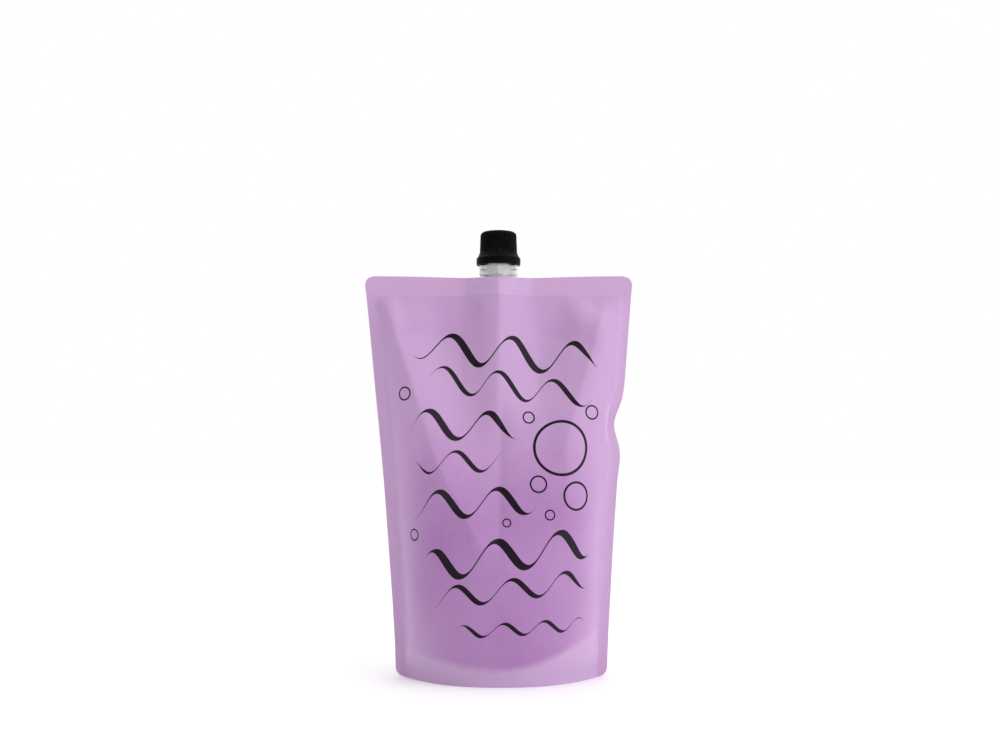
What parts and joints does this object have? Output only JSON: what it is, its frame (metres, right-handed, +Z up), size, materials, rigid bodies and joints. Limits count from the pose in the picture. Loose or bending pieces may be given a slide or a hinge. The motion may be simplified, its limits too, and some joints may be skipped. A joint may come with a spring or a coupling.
{
  "type": "hand soap refill pack",
  "caption": "Stand-up film pouch of liquid soap with a welded spout in its top seal, a fluted screw cap and a flared tamper band.",
  "frame": {"origin": "on the floor under the spout's axis, at the middle of the base", "axes": "+Z up along the spout's axis, -Y out of the printed front panel, +X to the right seen from the front"},
  "size_m": [0.1758, 0.094, 0.288],
  "materials": {
    "film": "soft matte printed laminate, lilac with a black print",
    "spout_plastic": "natural translucent moulded polyethylene",
    "cap_plastic": "black moulded plastic, satin",
    "liner_foam": "white foamed sealing disc"
  },
  "bodies": {
    "pack": {"pouch": "film", "spout": "spout_plastic", "tamper_band": "cap_plastic"},
    "seal": {"cap_liner": "liner_foam"},
    "cap": {"cap": "cap_plastic"}
  },
  "joints": [
    {"name": "cap_rise", "type": "slide", "parent": "pack", "child": "seal", "axis": [0, 0, 1], "range_m": [0, 0.0061]},
    {"name": "cap_turn", "type": "hinge", "parent": "seal", "child": "cap", "pos_m": [0, 0, 0.281], "axis": [0, 0, 1], "range_deg": [0, 720]}
  ],
  "couplings": [
    {"joint": "cap_rise", "follows": "cap_turn", "m_per_rad": 0.00047746}
  ]
}
